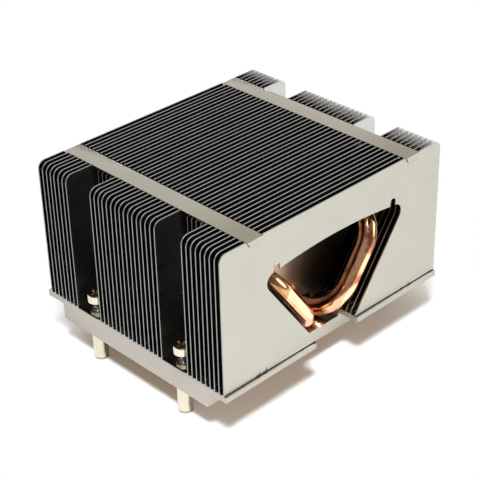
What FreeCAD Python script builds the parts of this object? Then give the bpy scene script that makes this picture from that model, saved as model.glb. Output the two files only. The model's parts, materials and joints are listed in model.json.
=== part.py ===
import FreeCAD, Part
import math
import os
import re

import Sketcher
from FreeCAD import Placement, Rotation, Vector

# Passive server processor heatsink: a stack of bent sheet fins on a machined aluminium
# base, two copper heat pipes, two straps over the fins, a copper contact plate and four
# captive spring screws in tubular standoffs. The origin is the centre of the contact
# plate's face, +Z is up, the fins are stacked along Y and the windowed end faces -Y.

# Driving sizes in millimetres; counts are plain numbers.
SIZES = [
    # fin stack
    ("fin_pitch", 2.2),
    ("fin_thickness", 0.45),
    ("fin_width", 109.4),
    ("fin_height", 54.7),
    ("fin_corner_radius", 3.0),
    ("fin_foot_gap", 0.3),
    ("fin_bend_size", 0.5),
    ("window_fin_count", 9),
    ("slot_fin_count", 5),
    ("middle_fin_count", 16),
    ("rear_fin_count", 8),
    ("screw_slot_depth", 12.8),
    # heat pipes and the openings for them
    ("pipe_diameter", 6.8),
    ("pipe_solder_gap", 0.1),
    ("pipe_seat_gap", 0.05),
    ("pipe_lower_offset", 4.1),
    ("pipe_upper_offset", 28.7),
    ("pipe_upper_height", 34.1),
    ("pipe_front_inset", 5.1),
    ("pipe_lower_inset", 1.0),
    ("pipe_tail_length", 3.0),
    ("solder_slot_shift", 0.6),
    ("solder_slot_width", 2.8),
    ("solder_slot_rise", 3.6),
    ("window_pipe_gap", 1.3),
    ("window_side_gap", 1.7),
    ("window_crown_gap", 2.8),
    ("window_crown_radius", 205.0),
    # straps
    ("strap_inset", 15.6),
    ("strap_width", 7.3),
    ("strap_foot_width", 4.3),
    ("strap_thickness", 2.2),
    ("strap_recess", 0.1),
    ("strap_notch_gap", 0.2),
    ("strap_overlap", 0.4),
    # base and contact plate
    ("base_thickness", 8.6),
    ("base_front_lip", 0.8),
    ("base_rear_lip", 0.3),
    ("flange_thickness", 2.2),
    ("block_margin", 15.7),
    ("groove_side_gap", 3.3),
    ("groove_depth", 3.5),
    ("contact_plate_size", 52.0),
    ("contact_plate_thickness", 2.5),
    ("contact_plate_chamfer", 0.5),
    # captive screws, springs and standoffs
    ("screw_edge_inset", 3.7),
    ("standoff_diameter", 5.5),
    ("standoff_shank_diameter", 5.1),
    ("standoff_drop", 11.3),
    ("standoff_rim", 0.4),
    ("standoff_press_gap", 0.02),
    ("web_thickness", 3.4),
    ("screw_head_diameter", 6.6),
    ("screw_head_height", 3.3),
    ("screw_head_lift", 4.3),
    ("screw_neck_diameter", 2.4),
    ("screw_neck_gap", 0.25),
    ("screw_thread_diameter", 3.5),
    ("screw_thread_gap", 0.35),
    ("screw_shoulder_gap", 0.3),
    ("screw_tip_recess", 0.5),
    ("recess_width", 4.6),
    ("recess_blade", 1.2),
    ("recess_depth", 1.9),
    ("spring_wire", 0.55),
    ("spring_neck_gap", 0.3),
    ("spring_turns", 3),
    ("spring_seat_gap", 0.05),
]

# How finely the round outlines are drawn.
CORNER_STEPS = 4
ARCH_STEPS = 3
BEND_STEPS = 7
PIPE_SIDES = 24
SHAPED_SIDES = 24
HIDDEN_SIDES = 8
TUBE_SIDES = 16
BORE_SIDES = 12
COIL_STEPS = 8

# Rules that several pieces share: the four screws stand around the origin, in the middle
# of the slots that the short fins leave, and the base reaches past the stack's ends.
BASE_TOP = "(contact_plate_thickness + base_thickness)"
SCREW_ACROSS = "(fin_width/2 - screw_edge_inset)"
SCREW_ALONG = "(fin_pitch*(slot_fin_count + middle_fin_count)/2)"
STACK_FRONT = f"(-{SCREW_ALONG} - fin_pitch*(window_fin_count + (slot_fin_count - 1)/2))"
STACK_LAST = f"({SCREW_ALONG} + fin_pitch*(rear_fin_count + (slot_fin_count - 1)/2))"
STACK_REAR = f"({STACK_LAST} + fin_thickness)"
BLOCK_HALF = f"({SCREW_ALONG} + block_margin)"
FIN_FOOT = "(fin_pitch - fin_foot_gap)"
FIN_BEND_TOP = "(fin_thickness + fin_bend_size/2)"
FIN_EDGE = "(fin_width/2 - screw_slot_depth)"
STRAP_OFFSET = "(fin_width/2 - strap_inset)"
STRAP_DEPTH = "(strap_thickness + strap_recess)"
STRAP_SLOPE = "((strap_width - strap_foot_width)/2/strap_thickness)"
PIPE_RADIUS = "(pipe_diameter/2)"
PIPE_HOLE = f"({PIPE_RADIUS} + pipe_solder_gap)"
PIPE_LOW = f"({PIPE_RADIUS} + pipe_seat_gap - groove_depth)"
PIPE_RISE = f"(pipe_upper_height - {PIPE_LOW})"
PIPE_REACH = "(pipe_upper_offset - pipe_lower_offset)"
PIPE_SPAN = f"sqrt({PIPE_RISE}^2 + {PIPE_REACH}^2)"
PIPE_SLANT = f"atan({PIPE_RISE}/{PIPE_REACH})"
PIPE_BOW = "(fin_pitch*window_fin_count - pipe_front_inset)"
MOUTH = f"(pipe_lower_offset + {PIPE_HOLE})"
STANDOFF_LENGTH = "(base_thickness + standoff_drop + standoff_rim)"

doc = FreeCAD.newDocument("heatsink")
sheet = doc.addObject("Spreadsheet::Sheet", "Sizes")
for row, (alias, number) in enumerate(SIZES, start=1):
    sheet.set(f"A{row}", alias)
    sheet.set(f"B{row}", str(number))
    sheet.setAlias(f"B{row}", alias)
doc.recompute()


def bound(rule):
    """The rule with every size in it written as a reference to the sheet."""
    return re.sub(r"[a-z]+(_[a-z]+)+", r"Sizes.\g<0>", rule)


def value(rule):
    """The number that a rule comes to now."""
    return float(sheet.evalExpression(bound(rule)))


def negative(rule):
    return f"(-({rule}))"


def mirrored(points):
    """The same outline on the other side of the plane x = 0."""
    return [(negative(across), up) for across, up in reversed(points)]


def rectangle(left, right, low, high):
    return [(left, low), (right, low), (right, high), (left, high)]


def bend(across, up, radius, first, last, steps):
    """Points on an arc about a centre, from one angle to another."""
    points = []
    for step in range(steps + 1):
        angle = f"({first} + ({last} - {first})*{step}/{steps})"
        points.append((f"{across} + {radius}*cos({angle})",
                       f"{up} + {radius}*sin({angle})"))
    return points


def ring(across, up, radius, sides):
    """A regular outline with a flat at each side, above and below."""
    half_side = f"{180 / sides:g} deg"
    return bend(across, up, radius, half_side, f"(360 deg - {half_side})", sides - 1)


def new_body(label, place=("0", "0", "0")):
    body = doc.addObject("PartDesign::Body", label)
    body.Label = label
    body.Placement = Placement(Vector(*(value(rule) for rule in place)), Rotation())
    for axis, rule in zip("xyz", place):
        body.setExpression(f"Placement.Base.{axis}", bound(rule))
    return body


def new_sketch(body, name, plane):
    sketch = body.newObject("Sketcher::SketchObject", name)
    planes = {item.Role: item for item in body.Origin.OriginFeatures}
    sketch.AttachmentSupport = [(planes[plane], "")]
    sketch.MapMode = "FlatFace"
    return sketch


def add_outline(sketch, points, closed=True):
    """Lines from point to point, every point held at two distances from the origin."""
    corners = [Vector(value(across), value(up), 0) for across, up in points]
    ends = corners[1:] + corners[:1] if closed else corners[1:]
    first = sketch.GeometryCount
    last = first + len(ends) - 1
    sketch.addGeometry([Part.LineSegment(*pair) for pair in zip(corners, ends)])
    joints = [Sketcher.Constraint("Coincident", line, 2, line + 1, 1)
              for line in range(first, last)]
    held = [(line, 1) for line in range(first, last + 1)]
    if closed:
        joints.append(Sketcher.Constraint("Coincident", last, 2, first, 1))
    else:
        held.append((last, 2))
    start = sketch.ConstraintCount + len(joints)
    rules = []
    for spot, corner, point in zip(held, corners, points):
        for kind, distance in (("DistanceX", corner.x), ("DistanceY", corner.y)):
            joints.append(Sketcher.Constraint(kind, -1, 1, *spot, distance))
        rules += point
    sketch.addConstraint(joints)
    for offset, rule in enumerate(rules):
        sketch.setExpression(f"Constraints[{start + offset}]", bound(rule))


def add_circle(sketch, across, up, radius):
    centre = Vector(value(across), value(up), 0)
    circle = sketch.addGeometry(Part.Circle(centre, Vector(0, 0, 1), value(radius)))
    for kind, held, rule in (
        ("DistanceX", (-1, 1, circle, 3), across), ("DistanceY", (-1, 1, circle, 3), up),
        ("Radius", (circle,), radius),
    ):
        here = sketch.addConstraint(Sketcher.Constraint(kind, *held, value(rule)))
        sketch.setExpression(f"Constraints[{here}]", bound(rule))


def add_pad(body, sketch, length, centred=False):
    pad = body.newObject("PartDesign::Pad", sketch.Name + "Pad")
    pad.Profile = sketch
    pad.SideType = "Symmetric" if centred else "One side"
    pad.setExpression("Length", bound(length))
    return pad


def add_cut(body, sketch):
    """Cuts the sketch through the whole body, to both sides of its plane."""
    pocket = body.newObject("PartDesign::Pocket", sketch.Name + "Cut")
    pocket.Profile = sketch
    pocket.Type = "ThroughAll"
    pocket.SideType = "Symmetric"


def add_prism(body, name, outlines, low, high, kind="Pad", round_ones=()):
    """Adds or cuts outlines and circles between two heights of the body."""
    sketch = new_sketch(body, name, "XY_Plane")
    level = low if kind == "Pad" else high
    sketch.setExpression("AttachmentOffset.Base.z", bound(level))
    for outline in outlines:
        add_outline(sketch, outline)
    for circle in round_ones:
        add_circle(sketch, *circle)
    prism = body.newObject(f"PartDesign::{kind}", f"{name}{kind}")
    prism.Profile = sketch
    prism.setExpression("Length", bound(f"{high} - {low}"))


# Base: a wide block with a thin flange at each end, grooved along its middle for the
# pipes, with a hole in each corner for a standoff.
base = new_body("base_plate", ("0", "0", "contact_plate_thickness"))
front = f"({STACK_FRONT} - base_front_lip)"
rear = f"({STACK_LAST} + {FIN_FOOT} + base_rear_lip)"
flange = "(base_thickness - flange_thickness)"
side_view = new_sketch(base, "BaseSide", "YZ_Plane")
add_outline(side_view, [
    (front, flange), (negative(BLOCK_HALF), flange), (negative(BLOCK_HALF), "0"),
    (BLOCK_HALF, "0"), (BLOCK_HALF, flange), (rear, flange),
    (rear, "base_thickness"), (front, "base_thickness"),
])
add_pad(base, side_view, "fin_width", centred=True)
groove_half = f"(pipe_lower_offset + {PIPE_RADIUS} + groove_side_gap)"
groove = new_sketch(base, "Groove", "XZ_Plane")
add_outline(groove, rectangle(
    negative(groove_half), groove_half, "base_thickness - groove_depth", "base_thickness"
))
add_cut(base, groove)
corners = [(side(SCREW_ACROSS), end(SCREW_ALONG))
           for side in (negative, str) for end in (negative, str)]
hole_radius = "(standoff_shank_diameter/2 + standoff_press_gap)"
clear = f"({hole_radius}/cos({180 / TUBE_SIDES:g} deg))"
hole_rings = [ring(*corner, clear, TUBE_SIDES) for corner in corners]
add_prism(base, "StandoffHoles", hole_rings, "0", "base_thickness", "Pocket")

# Contact plate: a square copper slug soldered under the block, its lower edges broken.
slug = new_body("contact_plate")
half_slug = "(contact_plate_size/2)"
slug_side = new_sketch(slug, "SlugSide", "XZ_Plane")
slug_right = [
    (f"{half_slug} - contact_plate_chamfer", "0"), (half_slug, "contact_plate_chamfer"),
    (half_slug, "contact_plate_thickness"),
]
add_outline(slug_side, slug_right + mirrored(slug_right))
add_pad(slug, slug_side, "contact_plate_size", centred=True)


def fin_edge(short):
    """The right half of a fin's outer edge, from its lower corner to its top."""
    floor = f"(fin_height - {STRAP_DEPTH})"
    root = "(strap_foot_width/2 + strap_notch_gap)"
    mouth = f"({root} + {STRAP_DEPTH}*{STRAP_SLOPE})"
    inner_wall = [
        (f"{STRAP_OFFSET} - {root}", floor), (f"{STRAP_OFFSET} - {mouth}", "fin_height"),
    ]
    if short:
        return [(FIN_EDGE, FIN_BEND_TOP), (FIN_EDGE, floor), *inner_wall]
    radius = "fin_corner_radius"
    return [
        ("fin_width/2", FIN_BEND_TOP),
        *bend(f"fin_width/2 - {radius}", f"fin_height - {radius}", radius,
              "0 deg", "90 deg", CORNER_STEPS),
        (f"{STRAP_OFFSET} + {mouth}", "fin_height"), (f"{STRAP_OFFSET} + {root}", floor),
        *inner_wall,
    ]


def keyhole(across, up, shift, sides, first="", last=""):
    """A pipe's hole and the slot above it, from its left foot over the top to its right."""
    radius = f"({PIPE_HOLE}/cos({180 / sides:g} deg))"
    left = f"({shift} - solder_slot_width/2)"
    right = f"({shift} + solder_slot_width/2)"
    top = f"({up} + {PIPE_HOLE} + solder_slot_rise)"
    over = [(f"{across} + {left}", top), (f"{across} + {right}", top)]
    left_wall = f"acos({left}/{radius})"
    right_wall = f"acos({right}/{radius})"
    if first:
        steps = sides // 4
        return (bend(across, up, radius, first, left_wall, steps) + over
                + bend(across, up, radius, right_wall, last, steps))
    round_it = bend(across, up, radius, right_wall, f"({left_wall} - 360 deg)", sides - 1)
    return over + round_it


def window_top(across):
    """Height of the window's arched top at a distance from the middle."""
    crown = f"(pipe_upper_height + {PIPE_RADIUS} + window_crown_gap)"
    radius = "window_crown_radius"
    return f"({crown} - {radius} + sqrt({radius}^2 - ({across})^2))"


def window_side(up):
    """Distance of the window's slanted side from the middle, beside the pipe."""
    offset = f"(({PIPE_RADIUS} + window_pipe_gap)/sin({PIPE_SLANT}))"
    return f"(pipe_lower_offset + {offset} + ({up} - {PIPE_LOW})/tan({PIPE_SLANT}))"


def window_half():
    """The right half of the window, from its crown to its sill."""
    side = f"(pipe_upper_offset + {PIPE_RADIUS} + window_side_gap)"
    slot_right = "(pipe_upper_offset + solder_slot_shift + solder_slot_width/2)"
    slot_left = f"({slot_right} - solder_slot_width)"
    slot_top = f"(pipe_upper_height + {PIPE_HOLE} + solder_slot_rise)"
    corner = f"({side} - {slot_right})"
    knee = f"({PIPE_LOW} + ({side} - {window_side(PIPE_LOW)})*tan({PIPE_SLANT}))"
    arch = []
    for step in range(ARCH_STEPS):
        across = f"({slot_left}*{step + 1}/{ARCH_STEPS})"
        arch.append((across, window_top(across)))
    return [
        ("0", window_top("0")), *arch, (slot_left, slot_top), (slot_right, slot_top),
        *bend(slot_right, f"({window_top(slot_right)} - {corner})", corner,
              "90 deg", "0 deg", CORNER_STEPS),
        (side, knee), (window_side(FIN_BEND_TOP), FIN_BEND_TOP),
    ]


def add_fin(number, place, kind, shaped):
    """One bent sheet: a foot along its lower edge, parted over the groove, and a plate."""
    body = new_body(f"fin_{number:02d}", ("0", place, BASE_TOP))
    foot = new_sketch(body, "Foot", "YZ_Plane")
    add_outline(foot, [
        ("0", "fin_bend_size"), ("fin_bend_size", "0"), (FIN_FOOT, "0"),
        (FIN_FOOT, "fin_thickness"), (FIN_BEND_TOP, "fin_thickness"),
        ("fin_thickness", FIN_BEND_TOP), ("0", FIN_BEND_TOP),
    ])
    add_pad(body, foot, f"2*{FIN_EDGE}" if kind == "short" else "fin_width", centred=True)
    parting = window_side(FIN_BEND_TOP) if kind == "window" else MOUTH
    gap = new_sketch(body, "FootGap", "XZ_Plane")
    add_outline(gap, rectangle(negative(parting), parting, "0", FIN_BEND_TOP))
    add_cut(body, gap)
    edge = fin_edge(kind == "short")
    if kind == "window":
        opening = window_half()
    elif shaped:
        lean = f"asin(({FIN_BEND_TOP} - {PIPE_LOW})/{PIPE_HOLE})"
        opening = keyhole("pipe_lower_offset", PIPE_LOW, "0", SHAPED_SIDES,
                          f"(180 deg - {lean})", lean)
    else:
        height = f"{PIPE_LOW} + {PIPE_HOLE}"
        opening = [(MOUTH, height), (MOUTH, FIN_BEND_TOP)]
    other_side = mirrored(opening)
    if kind == "window":
        other_side = other_side[:-1]
    plate = new_sketch(body, "Plate", "XZ_Plane")
    add_outline(plate, edge + mirrored(edge) + other_side + opening)
    if kind != "window":
        sides = SHAPED_SIDES if shaped else HIDDEN_SIDES
        hole = keyhole("pipe_upper_offset", "pipe_upper_height", "solder_slot_shift", sides)
        add_outline(plate, hole)
        add_outline(plate, mirrored(hole))
    add_pad(body, plate, "fin_thickness").Reversed = True


# Fins: from the front, windowed ones, then full ones with a block of short ones over
# each pair of screws. The first behind the window and the last show their pipe holes.
groups = [
    ("window", "window_fin_count"), ("short", "slot_fin_count"),
    ("full", "middle_fin_count"), ("short", "slot_fin_count"),
    ("full", "rear_fin_count"),
]
layout = [kind for kind, count in groups for _ in range(int(value(count)))]
seen = (layout.index("short"), len(layout) - 1)
for index, kind in enumerate(layout):
    add_fin(index + 1, f"{STACK_FRONT} + fin_pitch*{index}", kind, index in seen)

# Straps: a dovetailed bar lies in the notches on each side.
for label, across in (("strap_left", negative(STRAP_OFFSET)), ("strap_right", STRAP_OFFSET)):
    floor = f"{BASE_TOP} + fin_height - {STRAP_DEPTH}"
    strap = new_body(label, (across, f"{STACK_FRONT} - strap_overlap", floor))
    section = new_sketch(strap, "StrapSection", "XZ_Plane")
    add_outline(section, [
        ("-strap_foot_width/2", "0"), ("strap_foot_width/2", "0"),
        ("strap_width/2", "strap_thickness"), ("-strap_width/2", "strap_thickness"),
    ])
    length = f"{STACK_REAR} - {STACK_FRONT} + strap_overlap"
    add_pad(strap, section, length).Reversed = True

# Heat pipes: each lies in the groove, turns up behind the front sheet, slants outwards
# across the window and runs back through the fins above. Its path is drawn in the
# slanted plane of its own bends.
LOWER_END = f"({BLOCK_HALF} - pipe_lower_inset)"
for label, across, turn in (
    ("heat_pipe_left", "-pipe_lower_offset", f"({PIPE_SLANT} - 180 deg)"),
    ("heat_pipe_right", "pipe_lower_offset", f"(-{PIPE_SLANT})"),
):
    pipe = new_body(label, (across, LOWER_END, f"{BASE_TOP} + {PIPE_LOW}"))
    pipe.Placement = Placement(
        pipe.Placement.Base, Rotation(Vector(0, 1, 0), value(turn))
    )
    pipe.setExpression("Placement.Rotation.Angle", bound(turn))
    turn_in = f"({STACK_FRONT} + fin_pitch*window_fin_count - {LOWER_END})"
    tail = f"({STACK_REAR} + pipe_tail_length - {LOWER_END})"
    path = new_sketch(pipe, "PipePath", "XY_Plane")
    add_outline(path, [
        ("0", "0"),
        *bend(PIPE_BOW, turn_in, PIPE_BOW, "180 deg", "270 deg", BEND_STEPS),
        *bend(f"{PIPE_SPAN} - {PIPE_BOW}", turn_in, PIPE_BOW, "270 deg", "360 deg",
              BEND_STEPS),
        (PIPE_SPAN, tail),
    ], closed=False)
    section = new_sketch(pipe, "PipeRing", "XZ_Plane")
    add_outline(section, ring("0", "0", PIPE_RADIUS, PIPE_SIDES))
    sweep = pipe.newObject("PartDesign::AdditivePipe", "PipeSweep")
    sweep.Profile = section
    sweep.Spine = path
    sweep.Transition = "Right corner"

# Standoffs: four tubes, each with a narrower shank that is pressed into the base up to
# its shoulder, and a web at its top that keeps the screw and carries the spring.
THREAD_BORE = "(screw_thread_diameter/2 + screw_thread_gap)"
WEB_BORE = "(screw_neck_diameter/2 + screw_neck_gap)"
standoffs = new_body("standoffs", ("0", "0", BASE_TOP))
standoffs.AllowCompound = True
foot = f"(standoff_rim - {STANDOFF_LENGTH})"
shoulder = "-base_thickness"
web = "(standoff_rim - web_thickness)"
tubes = [(*corner, "standoff_diameter/2") for corner in corners]
shanks = [ring(*corner, "(standoff_shank_diameter/2)", TUBE_SIDES) for corner in corners]
thread_bores = [ring(*corner, THREAD_BORE, BORE_SIDES) for corner in corners]
web_bores = [ring(*corner, WEB_BORE, BORE_SIDES) for corner in corners]
add_prism(standoffs, "Tubes", [], foot, shoulder, round_ones=tubes)
add_prism(standoffs, "Shanks", shanks, shoulder, "standoff_rim")
add_prism(standoffs, "ThreadBores", thread_bores, foot, web, "Pocket")
add_prism(standoffs, "WebBores", web_bores, web, "standoff_rim", "Pocket")


def add_screw(label, seat):
    """A wide head on a thin neck, the thread kept below the standoff's web."""
    screw = new_body(label, seat)
    shoulder = "(-web_thickness - screw_shoulder_gap)"
    tip = f"(screw_tip_recess - {STANDOFF_LENGTH})"
    head_top = "(screw_head_lift + screw_head_height)"
    for name, diameter, sides, low, high in (
        ("Thread", "screw_thread_diameter", BORE_SIDES, tip, shoulder),
        ("Neck", "screw_neck_diameter", BORE_SIDES, shoulder, "screw_head_lift"),
        ("Head", "screw_head_diameter", TUBE_SIDES, "screw_head_lift", head_top),
    ):
        add_prism(screw, name, [ring("0", "0", f"({diameter}/2)", sides)], low, high)
    arm = "recess_width/2"
    blade = "recess_blade/2"
    quarter = [(blade, f"-{blade}"), (arm, f"-{blade}"), (arm, blade)]
    cross = list(quarter)
    for _ in range(3):
        quarter = [(negative(up), across) for across, up in quarter]
        cross += quarter
    floor = f"({head_top} - recess_depth)"
    add_prism(screw, "DriveRecess", [cross], floor, head_top, "Pocket")


def add_spring(label, seat):
    """A coil of square wire between the standoff and the screw's head."""
    wire = value("spring_wire")
    radius = value("screw_neck_diameter/2 + spring_neck_gap") + wire / 2
    low = value("spring_seat_gap")
    climb = value("screw_head_lift") - 2 * low - 1.1 * wire
    steps = int(value("spring_turns") * COIL_STEPS)
    path = []
    for step in range(steps + 1):
        angle = 2 * math.pi * step / COIL_STEPS
        height = low + wire / 2 + climb * step / steps
        path.append(Vector(radius * math.cos(angle), radius * math.sin(angle), height))
    across = Vector(radius - wire / 2, 0, low)
    section = Part.makePolygon([
        across, across + Vector(wire, 0, 0), across + Vector(wire, 0, wire),
        across + Vector(0, 0, wire), across,
    ])
    sweep = Part.BRepOffsetAPI.MakePipeShell(Part.makePolygon(path))
    sweep.setTransitionMode(1)
    sweep.add(section)
    sweep.build()
    sweep.makeSolid()
    spring = doc.addObject("Part::Feature", label)
    spring.Shape = sweep.shape()
    for axis, rule in zip("xyz", seat):
        spring.setExpression(f"Placement.Base.{axis}", bound(rule))
    return spring


springs = []
for (across, along), spot in zip(corners, ("front_left", "rear_left",
                                           "front_right", "rear_right")):
    seat = (across, along, f"{BASE_TOP} + standoff_rim")
    add_screw(f"screw_{spot}", seat)
    springs.append(add_spring(f"spring_{spot}", seat))

doc.recompute()
for item in doc.Objects:
    if {"Invalid", "Error"} & set(item.State):
        raise RuntimeError(f"{item.Name} is {item.State}")
os.makedirs("parts", exist_ok=True)
for piece in doc.findObjects("PartDesign::Body") + springs:
    shape = piece.Shape
    if shape.isNull() or not shape.isValid():
        raise RuntimeError(f"{piece.Label} has no valid shape")
    shape.exportStep(f"parts/{piece.Label}.step")
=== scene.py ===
import json
import math
import random

import bmesh
import bpy
from mathutils import Matrix, Vector

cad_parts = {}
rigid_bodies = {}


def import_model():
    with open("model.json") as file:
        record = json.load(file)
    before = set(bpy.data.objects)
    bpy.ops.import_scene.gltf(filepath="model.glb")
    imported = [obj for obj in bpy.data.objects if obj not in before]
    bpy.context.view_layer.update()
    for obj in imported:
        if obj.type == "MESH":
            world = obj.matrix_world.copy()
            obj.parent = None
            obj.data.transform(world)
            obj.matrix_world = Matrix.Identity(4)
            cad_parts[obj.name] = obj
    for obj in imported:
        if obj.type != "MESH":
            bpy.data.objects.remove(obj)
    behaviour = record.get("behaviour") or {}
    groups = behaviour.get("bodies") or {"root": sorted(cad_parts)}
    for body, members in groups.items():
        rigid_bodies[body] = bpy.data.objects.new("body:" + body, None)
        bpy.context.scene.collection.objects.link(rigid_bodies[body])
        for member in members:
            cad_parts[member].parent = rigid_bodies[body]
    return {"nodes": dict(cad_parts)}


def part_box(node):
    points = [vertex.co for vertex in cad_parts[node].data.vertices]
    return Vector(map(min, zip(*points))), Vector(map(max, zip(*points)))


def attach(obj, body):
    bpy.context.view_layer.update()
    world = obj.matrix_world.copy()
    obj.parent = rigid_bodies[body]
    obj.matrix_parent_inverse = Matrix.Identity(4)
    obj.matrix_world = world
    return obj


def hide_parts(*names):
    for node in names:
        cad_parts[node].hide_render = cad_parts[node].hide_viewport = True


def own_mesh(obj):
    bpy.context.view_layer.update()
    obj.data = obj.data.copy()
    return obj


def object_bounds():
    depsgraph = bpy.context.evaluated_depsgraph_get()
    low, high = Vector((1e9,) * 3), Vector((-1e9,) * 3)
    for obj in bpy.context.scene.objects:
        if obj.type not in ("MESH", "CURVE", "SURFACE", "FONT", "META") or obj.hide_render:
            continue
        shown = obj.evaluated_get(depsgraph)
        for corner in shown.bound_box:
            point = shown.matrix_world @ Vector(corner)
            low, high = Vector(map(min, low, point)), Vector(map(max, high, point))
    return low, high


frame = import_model()
cad_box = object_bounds()
scene = bpy.context.scene
mm = 0.001


# Contact plate: a square copper slug soldered under the base. Its faces are milled and
# its edges broken, and it has dulled a little in the air.
slug_edge = 0.25 * mm
mill_pitch = 1.1 * mm
merge_gap = 0.001 * mm


def linear(code):
    """The linear colour of an sRGB hex code."""
    parts = [int(code[at:at + 2], 16) / 255 for at in (1, 3, 5)]
    return [*(part / 12.92 if part <= 0.04045 else ((part + 0.055) / 1.055) ** 2.4
              for part in parts), 1.0]


def new_material(name):
    """A material with no nodes yet."""
    material = bpy.data.materials.new(name)
    material.use_nodes = True
    material.node_tree.nodes.clear()
    return material


# The sockets that a Mix node blends colours with, which share their names with others.
mix_share, mix_from, mix_to, mixed = 0, 6, 7, 2


def add_node(owner, kind, inputs=(), **settings):
    """Adds a node, with its settings and the values or links of its inputs."""
    node = owner.node_tree.nodes.new("ShaderNode" + kind)
    for name, setting in settings.items():
        setattr(node, name, setting)
    for socket, source in dict(inputs).items():
        if isinstance(source, bpy.types.NodeSocket):
            owner.node_tree.links.new(source, node.inputs[socket])
        else:
            node.inputs[socket].default_value = source
    return node


def piece_of_node(node):
    """A node's own shape, joined up, with its flat faces whole."""
    shape = bmesh.new()
    shape.from_mesh(frame["nodes"][node].data)
    bmesh.ops.remove_doubles(shape, verts=shape.verts, dist=merge_gap)
    bmesh.ops.dissolve_limit(shape, angle_limit=math.radians(0.5),
                             verts=shape.verts, edges=shape.edges)
    return shape


def break_edges(shape, width, above=50.0, segments=2):
    """Rounds every edge where faces meet at more than an angle in degrees."""
    sharp = [edge for edge in shape.edges
             if edge.calc_face_angle(0) > math.radians(above)]
    bmesh.ops.bevel(shape, geom=sharp, offset=width, offset_type="OFFSET",
                    affect="EDGES", segments=segments, profile=0.5, material=-1,
                    clamp_overlap=True)


def finish_piece(shape, name, materials, slot, body, *nodes):
    """Makes the shape a piece that rides on a body in the place of its nodes."""
    bmesh.ops.recalc_face_normals(shape, faces=shape.faces)
    mesh = bpy.data.meshes.new(name)
    shape.to_mesh(mesh)
    shape.free()
    mesh.shade_smooth()
    mesh.set_sharp_from_angle(angle=math.radians(35))
    for material in materials:
        mesh.materials.append(material)
    piece = bpy.data.objects.new(name, mesh)
    scene.collection.objects.link(piece)
    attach(piece, body)
    if nodes:
        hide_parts(*nodes)
    return piece


# Milled copper: cutter lines and soft tarnish over a warm, half-bright metal. The lines
# are a few times as coarse as real ones, so that they show.
milled_copper = new_material("milled_copper")
place = add_node(milled_copper, "TexCoord").outputs["Object"]
tarnish = add_node(milled_copper, "TexNoise",
                   {"Vector": place, "Scale": 1 / (9 * mm), "Detail": 4.0})
lines = add_node(milled_copper, "TexWave", {
    "Vector": place, "Scale": math.pi / 10 / mill_pitch, "Distortion": 0.6},
    bands_direction="Y")
tint = add_node(milled_copper, "Mix", {
    mix_share: tarnish.outputs["Fac"], mix_from: linear("#C8835C"),
    mix_to: linear("#E3A27C")}, data_type="RGBA")
dullness = add_node(milled_copper, "MapRange", {
    "Value": tarnish.outputs["Fac"], "To Min": 0.28, "To Max": 0.42})
relief = add_node(milled_copper, "Bump", {
    "Height": lines.outputs["Fac"], "Strength": 0.12, "Distance": 0.02 * mm})
shader = add_node(milled_copper, "BsdfPrincipled", {
    "Base Color": tint.outputs[mixed], "Metallic": 1.0,
    "Roughness": dullness.outputs[0], "Normal": relief.outputs[0]})
add_node(milled_copper, "OutputMaterial", {"Surface": shader.outputs[0]})

slug = piece_of_node("contact_plate")
break_edges(slug, slug_edge)
finish_piece(slug, "contact_slug", [milled_copper], "copper", "heatsink",
             "contact_plate")


# Base: a slab of aluminium, thick in the middle and thin at its two ends, with a
# groove for the pipes. It is sawn from plate and milled, and its edges are broken.
slab_edge = 0.2 * mm

# Milled aluminium: fine close lines and a soft satin that dulls unevenly. The faces that
# look to the front, under the windowed fins, carry a yellower painted reflection.
milled_aluminium = new_material("milled_aluminium")
place = add_node(milled_aluminium, "TexCoord").outputs["Object"]
streaked = add_node(milled_aluminium, "Mapping", {
    "Vector": place, "Scale": (1 / (14 * mm), 1 / (0.5 * mm), 1 / (14 * mm))})
streaks = add_node(milled_aluminium, "TexNoise",
                   {"Vector": streaked.outputs[0], "Scale": 1.0, "Detail": 3.0})
cloud = add_node(milled_aluminium, "TexNoise",
                 {"Vector": place, "Scale": 1 / (16 * mm), "Detail": 3.0})
tint = add_node(milled_aluminium, "Mix", {
    mix_share: cloud.outputs["Fac"], mix_from: linear("#AFA39A"),
    mix_to: linear("#BCB0A6")}, data_type="RGBA")
facing = add_node(milled_aluminium, "SeparateXYZ", {
    "Vector": add_node(milled_aluminium, "TexCoord").outputs["Normal"]})
# Painted reflection: faces that look to the front get a yellower tint.
painted_front_tone = add_node(milled_aluminium, "MapRange", {
    "Value": facing.outputs["Y"], "From Min": -0.3, "From Max": -0.8})
tint = add_node(milled_aluminium, "Mix", {
    mix_share: painted_front_tone.outputs[0], mix_from: tint.outputs[mixed],
    mix_to: linear("#B5ADA0")}, data_type="RGBA")
dullness = add_node(milled_aluminium, "MapRange", {
    "Value": streaks.outputs["Fac"], "To Min": 0.34, "To Max": 0.52})
relief = add_node(milled_aluminium, "Bump", {
    "Height": streaks.outputs["Fac"], "Strength": 0.15, "Distance": 0.03 * mm})
shader = add_node(milled_aluminium, "BsdfPrincipled", {
    "Base Color": tint.outputs[mixed], "Metallic": 1.0,
    "Roughness": dullness.outputs[0], "Normal": relief.outputs[0]})
add_node(milled_aluminium, "OutputMaterial", {"Surface": shader.outputs[0]})

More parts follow.
